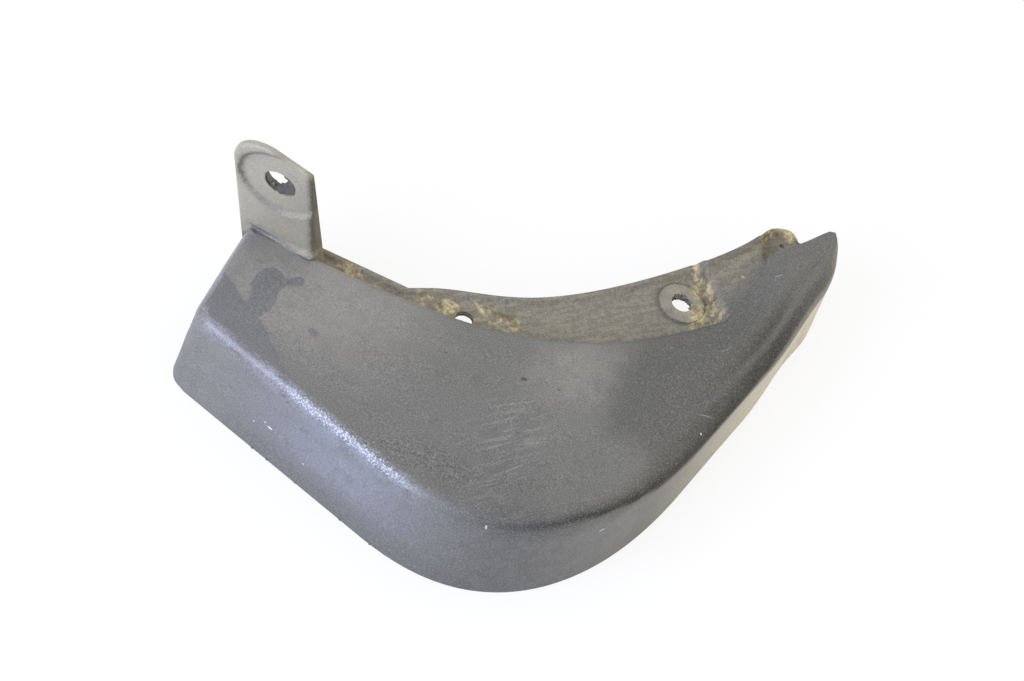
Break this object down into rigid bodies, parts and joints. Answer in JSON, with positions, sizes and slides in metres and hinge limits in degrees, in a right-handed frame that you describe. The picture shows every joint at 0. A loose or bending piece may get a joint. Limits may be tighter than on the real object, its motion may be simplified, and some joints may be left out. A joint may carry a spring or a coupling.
{
  "type": "rear mudguard",
  "caption": "L-shaped moulded rear mudguard: broad panel rolled over into a deep skirt, stepped fixing flange with a raised lip, pointed horn and a standing ear with its own hole.",
  "frame": {"origin": "middle of the main fixing hole, in the face of its raised pad", "axes": "+X along the lower leg away from the ear, +Y up the outer leg to the horn, +Z out of the panel along the main fixing hole"},
  "size_m": [0.2301, 0.2851, 0.1119],
  "materials": {
    "shell": "grained, worn and dusty"
  },
  "bodies": {
    "root": {"mudguard": "shell"}
  },
  "joints": []
}
